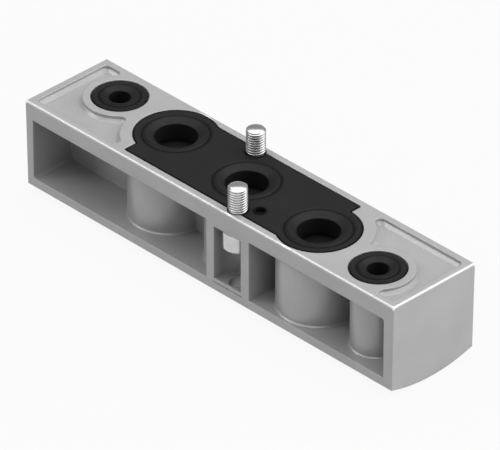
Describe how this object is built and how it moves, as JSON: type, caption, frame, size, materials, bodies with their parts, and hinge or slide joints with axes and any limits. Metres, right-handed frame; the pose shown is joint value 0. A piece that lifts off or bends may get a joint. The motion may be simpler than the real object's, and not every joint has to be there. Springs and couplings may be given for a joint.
{
  "type": "blanking plate",
  "caption": "Slim cored metal plate with a moulded gasket, port rings and captive screws that closes a spare station of a valve block.",
  "frame": {"origin": "middle of the sealing face, on the axis of the middle port, midway between the screws", "axes": "+X along the plate, +Y across it, +Z out of the sealing face along the screws, away from the arched side"},
  "size_m": [0.0648, 0.0144, 0.0167],
  "materials": {
    "cast_metal": "satin, as cast and blasted",
    "black_rubber": "smooth, moulded, half matt",
    "plated_steel": "bright, nickel plated"
  },
  "bodies": {
    "root": {"plate_body": "cast_metal", "main_gasket": "black_rubber", "left_port_ring": "black_rubber", "right_port_ring": "black_rubber", "front_screw": "plated_steel", "back_screw": "plated_steel"}
  },
  "joints": []
}
